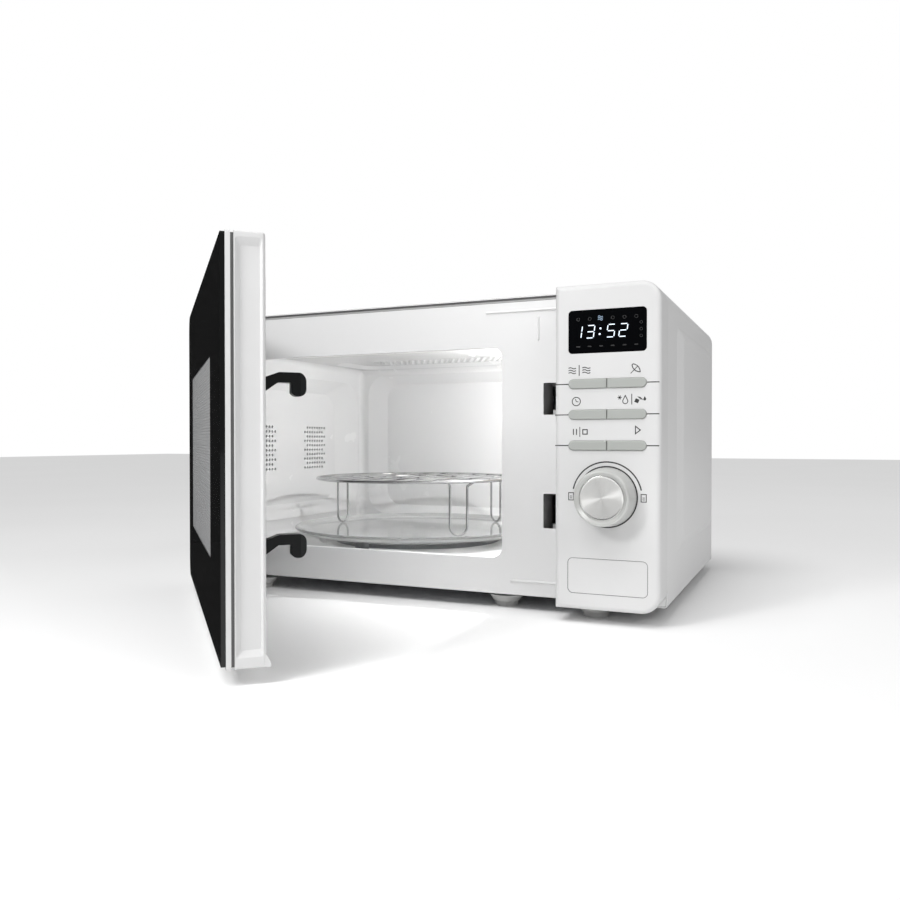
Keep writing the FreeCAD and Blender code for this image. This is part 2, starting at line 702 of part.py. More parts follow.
def make_display_window():
    """Dark lens set flush in the panel."""
    return front_slab(display_x, display_z, front_face_y + 0.05, front_face_y + 2, display_radius)


def make_key(row, right):
    """One half of a pill-shaped key pair, with a captive flange behind the panel."""
    z = key_rows_z[row]
    left_end, right_end = key_row_x[0] + key_gap, key_row_x[1] - key_gap
    x0, x1 = (panel_centre_x + 0.2, right_end) if right else (left_end, panel_centre_x - 0.2)
    radius = key_height / 2 - key_gap - 0.01
    radii = (0.3, radius, radius, 0.3) if right else (radius, 0.3, 0.3, radius)
    span_z = grow((z, z), key_height / 2 - key_gap)
    cap = front_slab((x0, x1), span_z, front_face_y - key_standout, front_face_y + 3.1, radii)
    front_edges = [edge for edge in cap.Edges if edge.BoundBox.YMax < front_face_y - key_standout + 0.01]
    cap = cap.makeFillet(0.8, front_edges)
    flange_x = (x0, x1 + 1.2) if right else (x0 - 1.2, x1)
    flange = front_slab(flange_x, grow(span_z, 1.2), front_face_y + 3.1, front_face_y + 4.6, 1.0)
    middle = (x0 + x1) / 2
    stem = rod((middle, front_face_y + 4, z), (middle, board_y - 3.4, z), 1.6)
    return joined([cap, flange, stem])


def make_control_board():
    """Circuit board with the display block, a switch behind each key and a connector."""
    board = front_slab((146.5, 213.5), (78, 243), board_y, board_y + 1.6, 2)
    display = box((152, 208), (front_face_y + 3.2, board_y), (209, 237))
    parts = [board, display, box((150, 210), (board_y + 1.6, board_y + 12), (222, 232))]
    for z in key_rows_z:
        for x in (165.0, 194.8):
            switch = box((x - 3, x + 3), (board_y - 1.8, board_y), (z - 3, z + 3))
            parts += [switch, rod((x, board_y - 2.2, z), (x, board_y, z), 1.7)]
    return joined(parts)


def make_encoder():
    """Rotary encoder: its can, threaded bush and plain shaft."""
    x, z = panel_centre_x, knob_z
    can = box((x - 6.5, x + 6.5), (board_y - 6, board_y), (z - 6.5, z + 6.5))
    bush = rod((x, board_y - 11, z), (x, board_y - 6, z), 4.5)
    shaft = rod((x, knob_front_y + 6, z), (x, board_y - 6, z), shaft_radius)
    return joined([can, bush, shaft])


def make_knob():
    """Turned knob with a rim that slopes in to the disc's seat, and a blind bore for the shaft."""
    depth = front_face_y - 0.6 - knob_front_y
    bore = shaft_radius + running_clearance
    seat = depth - knob_seat_depth
    profile = [(bore, 0), (knob_base_radius - 2, 0), (knob_base_radius - 2, 1.2), (knob_base_radius, 1.2),
               (knob_rim_radius + 0.2, depth - 2.2), (knob_rim_radius - 0.2, depth - 0.9),
               (knob_rim_radius - 0.9, depth - 0.15), (knob_rim_radius - 1.7, depth),
               (disc_radius + 0.3, depth - 2.1), (disc_radius + 0.3, seat), (0, seat),
               (0, depth - 5.8), (bore, depth - 5.8)]
    return turned(profile, (panel_centre_x, front_face_y - 0.6, knob_z), (0, -1, 0))


def make_knob_disc():
    """Spun metal disc, slightly dished, set in the knob's face."""
    profile = [(0, 0), (disc_radius, 0), (disc_radius, 1.5), (disc_radius - 0.5, 1.6), (10.0, 1.1), (0, 0.7)]
    return turned(profile, (panel_centre_x, knob_front_y + knob_seat_depth, knob_z), (0, -1, 0))


# ---------------------------------------------------------------- door

def depth_y(depth):
    """Depth behind the closed door's front face, as a y position."""
    return front_face_y + depth


def door_slab(span_x, span_z, low, high, radii=0.0, holes=()):
    return front_slab(span_x, span_z, depth_y(low), depth_y(high), radii, holes)


def swing(shape):
    """Turn a closed-door shape to the rest pose."""
    copy = shape.copy()
    copy.rotate(Vector(hinge_x, hinge_y, 0), Vector(0, 0, 1), -door_open)
    return copy


def make_door_glass():
    """Flat glass over the whole front of the door."""
    pane = door_slab(door_x, glass_z, 0, glass_depth, left_round)
    front_edges = [edge for edge in pane.Edges if edge.BoundBox.YMax < depth_y(0.01)]
    return swing(pane.makeChamfer(0.4, front_edges))


def make_door_frame():
    """Moulded tray behind the glass: front web, side walls, grooved edge and hinge bosses."""
    flange = door_slab((door_x[0], door_x[1]), door_z, glass_depth, flange_depth, left_round)
    neck = door_slab(grow(door_x, -1.2), grow(door_z, -1.2), flange_depth, groove_depth, (14, 0.5, 0.5, 14))
    walls = door_slab(door_x, door_z, groove_depth, rim_depth, left_round)
    rear_edges = [edge for edge in walls.Edges
                  if edge.BoundBox.YMin > depth_y(rim_depth) - 0.01 and edge.BoundBox.XMax < 120]
    walls = walls.makeFillet(1.8, rear_edges)
    pocket = door_slab((door_x[0] + 3, door_x[1] - 4.2), grow(door_z, -3), flange_depth, rim_depth + 1,
                       (12, 0.5, 0.5, 12))
    opening = door_slab(grow(window_x, 8), grow(window_z, 8), 0, flange_depth + 1, 6)
    edge_x = door_x[1]
    recess = loft(rounded_outline((depth_y(groove_depth + 0.6), depth_y(23.6)), (16.5, 255.5), 1.5,
                                  on_side(edge_x)),
                  rounded_outline((depth_y(groove_depth + 3.6), depth_y(22.4)), (20.5, 251.0), 1.0,
                                  on_side(edge_x - 2.0)))
    lug = prism([(depth_y(rim_depth - 1), 10.3), (depth_y(27.9), 10.3), (depth_y(27.9), 12.5),
                 (depth_y(rim_depth), 17.5), (depth_y(rim_depth - 1), 17.5)],
                on_side(edge_x - 4.2), Vector(4.2, 0, 0))
    bosses, cuts = [], []
    for upper in (False, True):
        low, high = (232.0, 246.0) if upper else (24.0, 38.0)
        bosses.append(box((-218.0, -204.0), (depth_y(12), depth_y(24.8)), (low, high)))
        bore = (low + 2, high + 3) if upper else (low - 3, high - 2)
        cuts.append(rod((hinge_x, hinge_y, bore[0]), (hinge_x, hinge_y, bore[1]),
                        hinge_pin_radius + running_clearance))
        notch = (246.4, 256.6) if upper else (13.4, 23.6)
        cuts.append(box((-222.0, -202.0), (depth_y(12.4), depth_y(rim_depth + 4)), notch))
    spring_seat = box((126.0, door_x[1] - 4.0), (depth_y(flange_depth), depth_y(19)), (214.0, 217.0))
    frame = cut(joined([flange, neck, walls]), [pocket, opening, recess])
    return swing(cut(joined([frame, lug, spring_seat, *bosses]), cuts))


def make_door_pan():
    """Folded steel pan that carries the window screen and forms the choke."""
    inner_x, inner_z = grow(pan_x, -sheet), grow(pan_z, -sheet)
    pan = door_slab(pan_x, pan_z, flange_depth, 27, 6)
    hollow = door_slab(inner_x, inner_z, flange_depth + sheet, 28, 5)
    opening = door_slab(grow(window_x, 1.5), grow(window_z, 1.5), 0, 10, 3)
    return swing(cut(pan, [hollow, opening]))


def make_window_screen():
    """Perforated metal screen behind the door's window."""
    depth = flange_depth + sheet
    return swing(door_slab(grow(window_x, 6), grow(window_z, 6), depth, depth + 0.6, 3))


def make_inner_window():
    """Clear sheet that closes the window on the cavity side."""
    return swing(door_slab(grow(window_x, 5), grow(window_z, 5), 27.0, 27.8, 3))


def make_door_liner():
    """Moulded inner cover: a rim flange and a raised frame round the window."""
    rim = door_slab((-216.6, door_x[1] - 4.5), (13.7, 255.6), 22.5, 24.7, (11, 0.5, 0.5, 11),
                    [rounded_outline((-197.4, 103.4), (24.6, 245.4), 6, on_front(depth_y(22.5)))])
    through = (depth_y(12), depth_y(30))
    notches = [box((-222.0, -202.0), through, span) for span in ((12, 38.5), (231.5, 258))]
    notches += [box((125.6, 136), through, (167.2 - drop, 187.0 - drop)) for drop in (0, hook_pitch)]
    raised = door_slab((-199.5, 105.5), (22.5, 247.5), 22.5, 29.8, 9)
    rear_edges = [edge for edge in raised.Edges if edge.BoundBox.YMin > depth_y(29.79)]
    raised = raised.makeFillet(1.6, rear_edges)
    hollow = door_slab((-197.4, 103.4), (24.6, 245.4), 22.4, 27.8, 6)
    opening = door_slab(window_x, window_z, 22, 31, 3)
    return swing(cut(joined([rim, raised]), [hollow, opening, *notches]))


def hook_outline(drop, x):
    """Side view of one hook in (depth, height): shank, crown, round nose and notch."""
    def at(depth, height):
        return Vector(x, depth_y(depth), height - drop)
    lines = [(10, 169.0), (26, 169.0), (33, 174.0), (40.6, 174.0), (40.6, 168.1)]
    edges = [Part.makeLine(at(*a), at(*b)) for a, b in zip(lines, lines[1:])]
    edges.append(Part.Arc(at(40.6, 168.1), at(42.4, 166.5), at(45.2, nose_bottom)).toShape())
    edges.append(Part.Arc(at(45.2, nose_bottom), at(48.6, 167.4), at(50, 170.6)).toShape())
    edges.append(Part.makeLine(at(50, 170.6), at(50, 175.2)))
    edges.append(Part.Arc(at(50, 175.2), at(48.4, 178.6), at(44.6, 180.0)).toShape())
    top = [(44.6, 180.0), (33.5, 180.0), (26, 177.2), (10, 177.2), (10, 169.0)]
    edges += [Part.makeLine(at(*a), at(*b)) for a, b in zip(top, top[1:])]
    return Part.Wire(edges)


def make_door_latch():
    """Two hooks joined by an upright bar inside the door."""
    hooks = []
    for drop in (0, hook_pitch):
        hook = Part.Face(hook_outline(drop, hook_x[0])).extrude(Vector(hook_x[1] - hook_x[0], 0, 0))
        bevel = prism([(hook_x[1] + 1, depth_y(44.8)), (hook_x[1] - 3.4, depth_y(50.1)),
                       (hook_x[1] + 1, depth_y(50.1))], on_top(160.0 - drop), Vector(0, 0, 30))
        hooks.append(hook.cut(bevel))
    bar = box((128.0, 132.0), (depth_y(11), depth_y(17)), (74.5, 184.0))
    return swing(joined([*hooks, bar]))


def make_latch_spring():
    """Coil spring that holds the latch bar down."""
    radius, wire, turns = 3.0, 0.45, 8
    height = spring_z[1] - spring_z[0] - 2 * wire
    helix = Part.makeHelix(height / turns, height, radius)
    section = Part.Wire([Part.makeCircle(wire, Vector(radius, 0, 0), Vector(0, 1, 0))])
    coil = Part.Wire(helix.Edges).makePipeShell([section], True, True)
    coil.translate(Vector(130.0, depth_y(14), spring_z[0] + wire))
    return swing(coil)


def make_hinge_brackets():
    """Upper and lower hinge tabs on the front plate, each with its pin."""
    brackets = []
    for upper in (False, True):
        def level(z, flip=upper):
            return 270.0 - z if flip else z
        spans = [sorted((level(a), level(b))) for a, b in ((14.5, 22.5), (17.0, 19.0), (19.0, 34.0))]
        flange = box((-217.0, -204.0), (plate_front_y - 1.6, plate_front_y), spans[0])
        tab = box((hinge_x - 5.8, hinge_x + 5.8), (hinge_y, plate_front_y), spans[1])
        eye = rod((hinge_x, hinge_y, spans[1][0]), (hinge_x, hinge_y, spans[1][1]), 5.8)
        pin = rod((hinge_x, hinge_y, spans[2][0]), (hinge_x, hinge_y, spans[2][1]), hinge_pin_radius)
        brackets.append(joined([flange, tab, eye, pin]))
    return group(brackets)


# ---------------------------------------------------------------- turntable

def make_coupler():
    """Three-armed drive hub on the motor's shaft."""
    centre = (table_x, table_y)
    hub = rod((*centre, 33.2), (*centre, 44.9), 7)
    span_z, reach, half = (39.0, 44.9), table_x + 15, 3.5
    arm = box((table_x, reach), grow((table_y, table_y), half), span_z)
    tip = rod((reach, table_y, span_z[0]), (reach, table_y, span_z[1]), half)
    arms = [spin_z(joined([arm, tip]), angle) for angle in (90, 210, 330)]
    bore = rod((*centre, 33), (*centre, 38.2), 3.0 + running_clearance)
    return joined([hub, *arms]).cut(bore)


def make_glass_tray():
    """Pressed glass plate with a raised rim and three lugs round the coupler."""
    profile = [(0, tray_underside), (112, tray_underside), (117, 46.3), (tray_radius - 1.2, 50.2),
               (tray_radius, 51.4), (tray_radius, 52.2), (tray_radius - 0.8, tray_rim),
               (tray_radius - 3.2, tray_rim), (116, 50.2), (111, tray_face), (0, tray_face)]
    plate = turned(profile, (table_x, table_y, 0), (0, 0, 1))
    lugs = []
    for angle in (30, 150, 270):
        lug = rod((table_x + 14.5, table_y, 41.5), (table_x + 14.5, table_y, tray_underside + 1), 4.5)
        lugs.append(spin_z(lug, angle))
    return joined([plate, *lugs])


def make_roller_ring():
    """Moulded ring with three stub axles."""
    z, root = roller_axle_z, table_x + 84
    ring = turned([(79, -2), (85.5, -2), (85.5, 2), (79, 2)], (table_x, table_y, z), (0, 0, 1))
    axle = rod((root, table_y, z), (table_x + 96.4, table_y, z), axle_radius)
    collar = rod((root, table_y, z), (table_x + 87.6, table_y, z), 3.2)
    return joined([ring, *[spin_z(joined([axle, collar]), roller_angle(index)) for index in range(3)]])


def roller_angle(index):
    return 20 + index * 120


def make_roller(index):
    inner, outer = roller_span
    wheel = turned([(axle_radius + running_clearance, 0), (roller_radius - 0.8, 0), (roller_radius, 0.8),
                    (roller_radius, outer - inner - 0.8), (roller_radius - 0.8, outer - inner),
                    (axle_radius + running_clearance, outer - inner)],
                   (table_x + inner, table_y, roller_axle_z), (1, 0, 0))
    return spin_z(wheel, roller_angle(index))


def rack_leg(angle):
    """U-shaped wire leg hanging from the rack's ring and standing on the tray."""
    low = tray_face + leg_wire + 0.02
    half, x = 9.0, table_x + leg_ring_radius
    top = rack_top - 2 * rack_wire - 0.2
    bend = Part.makeTorus(half, leg_wire, Vector(x, table_y, low + half), Vector(1, 0, 0))
    bend = bend.common(box((x - 3, x + 3), (table_y - 12, table_y + 12), (low - 3, low + half)))
    pieces = [bend]
    for side in (-1, 1):
        foot, knee = (x, table_y + side * half, low + half), (x, table_y + side * half, top - 3)
        toe = (table_x + rack_radius - 0.6, table_y + side * (half + 4), top + 1.4)
        pieces += [rod(foot, knee, leg_wire), Part.makeSphere(leg_wire, Vector(*knee)),
                   rod(knee, toe, leg_wire)]
    return [spin_z(piece, angle) for piece in pieces]


def make_grill_rack():
    """Chromed wire rack: outer ring, inner ring, cross wires, one long tie and three wire legs."""
    z = rack_top - rack_wire
    centre, upright = Vector(table_x, table_y, z), Vector(0, 0, 1)
    pieces = [Part.makeTorus(rack_radius, rack_wire, centre, upright),
              Part.makeTorus(rack_radius * 0.45, rack_wire * 0.8, centre, upright)]
    for offset in grid(9, 20.0):
        half, x = math.sqrt(rack_radius ** 2 - offset ** 2) - 0.4, table_x + offset
        pieces.append(rod((x, table_y - half, z + 0.3), (x, table_y + half, z + 0.3), 1.0))
    reach = rack_radius - 0.4
    pieces.append(rod((table_x - reach, table_y, z - 0.9), (table_x + reach, table_y, z - 0.9), 1.2))
    for angle in leg_angles:
        pieces += rack_leg(angle)
    return joined(pieces)


# ---------------------------------------------------------------- the parts

parts = {
    "outer_cover": make_outer_cover,
    "base_plate": make_base_plate,
    "feet": make_feet,
    "rear_panel": make_rear_panel,
    "cover_screws": make_cover_screws,
    "cord_gland": make_cord_gland,
    "rear_spacers": make_rear_spacers,
    "front_plate": make_front_plate,
    "cavity_left_wall": make_left_wall,
    "cavity_right_wall": make_right_wall,
    "cavity_rear_wall": make_rear_wall,
    "cavity_ceiling": make_ceiling,
    "cavity_floor": make_floor,
    "waveguide_cover": make_waveguide_cover,
    "waveguide": make_waveguide,
    "magnetron": make_magnetron,
    "cooling_fins": make_cooling_fins,
    "transformer_core": make_transformer_core,
    "transformer_windings": make_transformer_windings,
    "hv_capacitor": make_capacitor,
    "fan_housing": make_fan_housing,
    "fan_motor": make_fan_motor,
    "fan_blade": make_fan_blade,
    "cavity_lamp": make_lamp,
    "grill_heater": make_grill_heater,
    "grill_reflector": make_grill_reflector,
    "turntable_motor": make_turntable_motor,
    "filter_board": make_filter_board,
    "latch_bracket": make_latch_bracket,
    "microswitches": make_microswitches,
    "release_slider": make_release_slider,
    "release_button": make_release_button,
    "fascia": make_fascia,
    "display_window": make_display_window,
    "control_board": make_control_board,
    "encoder": make_encoder,
    "knob": make_knob,
    "knob_disc": make_knob_disc,
    "hinge_brackets": make_hinge_brackets,
    "door_glass": make_door_glass,
    "door_frame": make_door_frame,
    "door_pan": make_door_pan,
    "window_screen": make_window_screen,
    "inner_window": make_inner_window,
    "door_liner": make_door_liner,
    "door_latch": make_door_latch,
    "latch_spring": make_latch_spring,
    "turntable_coupler": make_coupler,
    "glass_tray": make_glass_tray,
    "roller_ring": make_roller_ring,
    "grill_rack": make_grill_rack,
}
for number, name in enumerate(key_names):
    parts[name] = lambda number=number: make_key(number // 2, number % 2 == 1)
for number in range(3):
    parts[f"roller_{number + 1}"] = lambda number=number: make_roller(number)

os.makedirs("parts", exist_ok=True)
for name, make in parts.items():
    shape = make()
    shape.exportStep(f"parts/{name}.step")
    print(f"{name}: {len(shape.Solids)} solids, valid {shape.isValid()}, {shape.Volume / 1000:.1f} cm3")
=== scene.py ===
import json
import math

import bmesh
import bpy
from mathutils import Matrix, Vector


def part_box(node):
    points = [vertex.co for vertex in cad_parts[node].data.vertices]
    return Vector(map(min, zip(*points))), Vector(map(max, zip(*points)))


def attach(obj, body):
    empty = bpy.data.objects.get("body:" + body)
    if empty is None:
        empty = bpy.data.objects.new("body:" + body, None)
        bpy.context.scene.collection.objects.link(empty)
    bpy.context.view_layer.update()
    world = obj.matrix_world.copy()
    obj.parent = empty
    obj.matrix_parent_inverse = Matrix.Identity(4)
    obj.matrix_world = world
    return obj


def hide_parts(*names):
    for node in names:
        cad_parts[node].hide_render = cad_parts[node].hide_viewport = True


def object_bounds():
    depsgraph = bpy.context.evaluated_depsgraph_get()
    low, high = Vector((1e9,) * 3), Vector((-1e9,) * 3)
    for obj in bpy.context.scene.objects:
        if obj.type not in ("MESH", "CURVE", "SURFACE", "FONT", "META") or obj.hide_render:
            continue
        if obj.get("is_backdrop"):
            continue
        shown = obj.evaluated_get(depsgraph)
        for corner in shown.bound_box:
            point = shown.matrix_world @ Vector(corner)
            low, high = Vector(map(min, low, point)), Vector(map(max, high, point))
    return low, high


# Looks of a compact microwave oven, in metres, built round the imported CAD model.

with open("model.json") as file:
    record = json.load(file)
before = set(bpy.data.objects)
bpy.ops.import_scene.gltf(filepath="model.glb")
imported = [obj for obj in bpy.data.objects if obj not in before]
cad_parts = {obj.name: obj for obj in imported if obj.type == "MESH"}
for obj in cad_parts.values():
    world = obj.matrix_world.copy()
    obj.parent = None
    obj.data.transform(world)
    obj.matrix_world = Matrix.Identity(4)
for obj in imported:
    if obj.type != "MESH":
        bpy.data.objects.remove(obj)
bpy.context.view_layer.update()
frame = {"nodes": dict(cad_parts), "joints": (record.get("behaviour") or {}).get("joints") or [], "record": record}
nodes = frame["nodes"]
joints = {joint["name"]: joint for joint in frame["joints"]}
MM = 0.001

# ---------------------------------------------------------------- camera

camera_data = bpy.data.cameras.new("camera")
camera = bpy.data.objects.new("camera", camera_data)
bpy.context.collection.objects.link(camera)
camera_data.sensor_width = 36
camera_data.lens = 32.89
camera.location = (0.32478, -0.77086, 0.14023)
camera.rotation_euler = (math.radians(89.34), 0, math.radians(24.09))
camera_data.clip_start, camera_data.clip_end = 0.01, 50
bpy.context.scene.camera = camera
bpy.context.scene.view_settings.view_transform = "Standard"

# ---------------------------------------------------------------- places taken from the frame


def span(node):
    """Lowest and highest corner of a node, in metres."""
    low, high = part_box(node)
    return Vector(low), Vector(high)


fascia_low, fascia_high = span("fascia")
display_low, display_high = span("display_window")
knob_low, knob_high = span("knob")
plate_low, plate_high = span("front_plate")
floor_low, floor_high = span("cavity_floor")
ceiling_low, ceiling_high = span("cavity_ceiling")
panel_y = fascia_low.y
knob_centre = (knob_low + knob_high) / 2
hinge = Vector(joints["door_swing"]["pos_m"])
door_open = math.radians(-joints["door_swing"]["range_deg"][0])

# ---------------------------------------------------------------- materials


def new_material(name, color, roughness=0.5, metallic=0.0, **sockets):
    """Principled material; further keywords name its sockets, with _ for a space."""
    material = bpy.data.materials.new(name)
    material.use_nodes = True
    shader = material.node_tree.nodes["Principled BSDF"]
    shader.inputs["Base Color"].default_value = (*color, 1)
    shader.inputs["Roughness"].default_value = roughness
    shader.inputs["Metallic"].default_value = metallic
    for socket, value in sockets.items():
        shader.inputs[socket.replace("_", " ")].default_value = value
    return material


def node(material, kind, **inputs):
    """New shader node; keywords name its sockets, with _ for a space."""
    made = material.node_tree.nodes.new("ShaderNode" + kind)
    for socket, value in inputs.items():
        made.inputs[socket.replace("_", " ")].default_value = value
    return made


def link(material, source, target):
    material.node_tree.links.new(source, target)


def shader_of(material):
    return material.node_tree.nodes["Principled BSDF"]


def feed(material, source, socket):
    """Leads a node's output into a socket of the material's shader."""
    link(material, source, shader_of(material).inputs[socket])


def texture(material, kind, **inputs):
    """Procedural texture in the object's own coordinates."""
    made = node(material, "Tex" + kind, **inputs)
    link(material, node(material, "TexCoord").outputs["Object"], made.inputs["Vector"])
    return made


def add_bump(material, pattern, strength, distance):
    """Fine relief from a texture."""
    bump = node(material, "Bump", Strength=strength, Distance=distance)
    link(material, pattern.outputs["Fac"], bump.inputs["Height"])
    feed(material, bump.outputs["Normal"], "Normal")


def add_grain(material, scale, strength, distance):
    """Orange peel or moulded grain."""
    noise = texture(material, "Noise", Scale=scale, Detail=3.0, Roughness=0.55)
    add_bump(material, noise, strength, distance)


def color_between(material, source, dark, light):
    """Base colour from dark to light, as a node's output says. Returns the ramp's two stops."""
    ramp = node(material, "ValToRGB")
    for stop, color in zip(ramp.color_ramp.elements, (dark, light)):
        stop.color = (*color, 1)
    link(material, source, ramp.inputs["Fac"])
    feed(material, ramp.outputs["Color"], "Base Color")
    return ramp.color_ramp.elements


def vary_color(material, dark, light, scale):
    """Slow change of colour over the surface."""
    noise = texture(material, "Noise", Scale=scale, Detail=4.0)
    stops = color_between(material, noise.outputs["Fac"], dark, light)
    stops[0].position, stops[1].position = 0.35, 0.65


def vary_roughness(material, low, high, scale, detail=5.0):
    """Slow change of gloss over the surface."""
    noise = texture(material, "Noise", Scale=scale, Detail=detail)
    spread = node(material, "MapRange", To_Min=low, To_Max=high)
    link(material, noise.outputs["Fac"], spread.inputs["Value"])
    feed(material, spread.outputs["Result"], "Roughness")


def grey(value):
    return (value, value, value)


def make_paint(name, base, roughness, peel):
    material = new_material(name, grey(base), roughness)
    vary_color(material, grey(base * 0.985), grey(base), 6)
    vary_roughness(material, roughness - 0.04, roughness + 0.04, 25)
    add_grain(material, 700, peel, 0.00005)
    return material


def make_plastic(name, color, roughness, grain, grain_scale=2600, ior=1.45):
    material = new_material(name, color, roughness, IOR=ior)
    vary_color(material, tuple(c * 0.97 for c in color), color, 14)
    vary_roughness(material, roughness - 0.05, roughness + 0.05, 60)
    add_grain(material, grain_scale, grain, 0.00004)
    return material


def make_zinc(name):
    """Galvanised sheet with a faint spangle."""
    material = new_material(name, (0.62, 0.63, 0.65), 0.35, 1.0)
    cells = texture(material, "Voronoi", Scale=150.0)
    color_between(material, cells.outputs["Color"], (0.585, 0.595, 0.61), (0.655, 0.665, 0.68))
    vary_roughness(material, 0.36, 0.50, 120)
    return material


def make_spun_metal(name):
    """Radially brushed disc: the tangent runs round the piece's own Z axis."""
    material = new_material(name, (0.80, 0.80, 0.785), 0.26, 1.0, Anisotropic=0.85)
    tangent = node(material, "Tangent")
    tangent.direction_type, tangent.axis = "RADIAL", "Z"
    feed(material, tangent.outputs["Tangent"], "Tangent")
    rings = texture(material, "Wave", Scale=420.0, Distortion=0.6, Detail=2.0)
    rings.wave_type, rings.rings_direction = "RINGS", "Z"
    add_bump(material, rings, 0.10, 0.00002)
    return material


def make_ridged(name, color, roughness, metallic, axis, scale, strength, distance):
    """Metal with even fine ridges along an axis: stacked sheets or the turns of a winding."""
    material = new_material(name, color, roughness, metallic)
    ridges = texture(material, "Wave", Scale=scale)
    ridges.bands_direction = axis
    add_bump(material, ridges, strength, distance)
    return material


def make_glass(name, color, roughness, ior, transmission=1.0):
    material = new_material(name, color, roughness, Transmission_Weight=transmission, IOR=ior)
    add_bump(material, texture(material, "Noise", Scale=35.0, Detail=2.0), 0.03, 0.0005)
    return material


def make_light(name, color, strength):
    material = new_material(name, grey(0.006), 0.4,
                            Emission_Color=(*color, 1), Emission_Strength=strength)
    vary_roughness(material, 0.35, 0.45, 300, 2.0)
    return material


finishes = {
    make_paint: {  # grey, roughness, orange peel
        "cabinet_paint": (0.77, 0.42, 0.10),
        "cavity_enamel": (0.78, 0.26, 0.04),
        "plate_enamel": (0.86, 0.34, 0.04),
    },
    make_plastic: {  # colour, roughness, grain, grain scale, index of refraction
        "panel_plastic": (grey(0.74), 0.40, 0.06),
        "door_plastic": (grey(0.72), 0.40, 0.06),
        "button_plastic": ((0.43, 0.445, 0.425), 0.38, 0.05),
        "knob_satin": ((0.60, 0.605, 0.59), 0.30, 0.01),
        "black_plastic": ((0.004, 0.0045, 0.005), 0.34, 0.15, 1800, 1.3),
        "grey_plastic": ((0.20, 0.205, 0.21), 0.5, 0.25, 1500),
        "foot_rubber": ((0.56, 0.56, 0.55), 0.6, 0.3, 900),
        "aluminium_fins": ((0.7, 0.71, 0.72), 0.35, 0.1),
        "circuit_board": ((0.05, 0.19, 0.08), 0.4, 0.3, 700),
        "mica": ((0.60, 0.55, 0.46), 0.45, 0.6, 300),
        "print_ink": (grey(0.035), 0.55, 0.1),
        "screen_metal": ((0.27, 0.272, 0.275), 0.5, 0.1),
        # near-black paint for the shadow in the panel's seams and round the release button
        "seam_rubber": (grey(0.05), 0.6, 0.3, 900),
        # dark grey paint for the shadow in the door's groove and in the gap under the cover
        "seam_dark": (grey(0.14), 0.6, 0.3, 900),
        # grey paint for the shade on the front plate's top edge under the cover
        "seam_grey": (grey(0.40), 0.5, 0.2, 900),
        "bracket_grey": (grey(0.42), 0.5, 0.25, 1500),
        "slider_white": (grey(0.78), 0.4, 0.1, 1500),
    },
    make_ridged: {  # colour, roughness, metallic, ridge axis, scale, strength and depth
        "core_steel": ((0.16, 0.17, 0.19), 0.45, 0.85, "X", 320.0, 0.5, 0.0002),
        "copper": ((0.60, 0.27, 0.10), 0.3, 1.0, "Z", 260.0, 0.6, 0.0004),
    },
    make_glass: {  # colour, roughness, index of refraction, transmission
        "clear_glass": ((0.95, 0.96, 0.955), 0.04, 1.25, 0.84),
        "tinted_glass": ((0.40, 0.41, 0.42), 0.03, 1.3),
        "clear_sheet": ((0.90, 0.91, 0.92), 0.04, 1.3),
    },
    make_light: {  # colour, strength
        "display_lit": ((0.80, 0.90, 1.0), 1.6),
        "display_dim": ((0.30, 0.40, 0.6), 0.004),
        "display_icon": ((0.55, 0.75, 1.0), 0.55),
    },
    new_material: {  # colour, roughness, metallic
        "chrome_wire": (grey(0.55), 0.24, 1.0),
        "spring_steel": ((0.5, 0.5, 0.52), 0.25, 1.0),
        "black_glass": ((0.003, 0.0032, 0.0035), 0.05),
        "display_lens": ((0.0008, 0.001, 0.0016), 0.10),
    },
    make_zinc: {"zinc_sheet": ()},
    make_spun_metal: {"spun_metal": ()},
}
materials = {name: make(name, *values) for make, group in finishes.items()
             for name, values in group.items()}
for name, metallic in (("aluminium_fins", 1.0), ("knob_satin", 0.25)):
    shader_of(materials[name]).inputs["Metallic"].default_value = metallic
for name, ior in (("black_glass", 1.45), ("display_lens", 1.20)):
    shader_of(materials[name]).inputs["IOR"].default_value = ior
for name, dark, light in (("chrome_wire", 0.46, 0.58), ("spring_steel", 0.45, 0.55)):
    vary_color(materials[name], grey(dark), grey(light), 40)
for name, low, high, scale in (("core_steel", 0.35, 0.6, 200), ("black_glass", 0.05, 0.08, 18),
                               ("display_lens", 0.10, 0.13, 18)):
    vary_roughness(materials[name], low, high, scale)

# Each CAD node's finish comes from its slot in the record, except for these nodes.
own_finish = {"knob": "knob_satin", "front_plate": "plate_enamel", "latch_bracket": "bracket_grey",
              "release_slider": "slider_white", "microswitches": "bracket_grey"}
for part in frame["record"]["subparts"]:
    finish = own_finish.get(part["node"], part["material_slot"])
    cad_materials = nodes[part["node"]].data.materials
    cad_materials.clear()
    cad_materials.append(materials[finish])

# ---------------------------------------------------------------- mesh helpers


def finish_piece(name, mesh, material, body, smooth_angle=30):
    """Object for a mesh, with its material and the body that it rides on."""
    mesh.materials.clear()
    mesh.materials.append(materials[material])
    piece = bpy.data.objects.new(name, mesh)
    bpy.context.collection.objects.link(piece)
    mesh.shade_smooth()
    mesh.set_sharp_from_angle(angle=math.radians(smooth_angle))
    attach(piece, body)
    return piece


def mesh_from(made):
    """Mesh from a bmesh, with its faces turned outwards."""
    bmesh.ops.recalc_face_normals(made, faces=made.faces)
    mesh = bpy.data.meshes.new("mesh")
    made.to_mesh(mesh)
    made.free()
    return mesh


def mesh_of(build):
    """Mesh made by a function that fills a bmesh, with points that coincide joined."""
    made = bmesh.new()
    build(made)
    bmesh.ops.remove_doubles(made, verts=made.verts, dist=1e-7)
    return mesh_from(made)


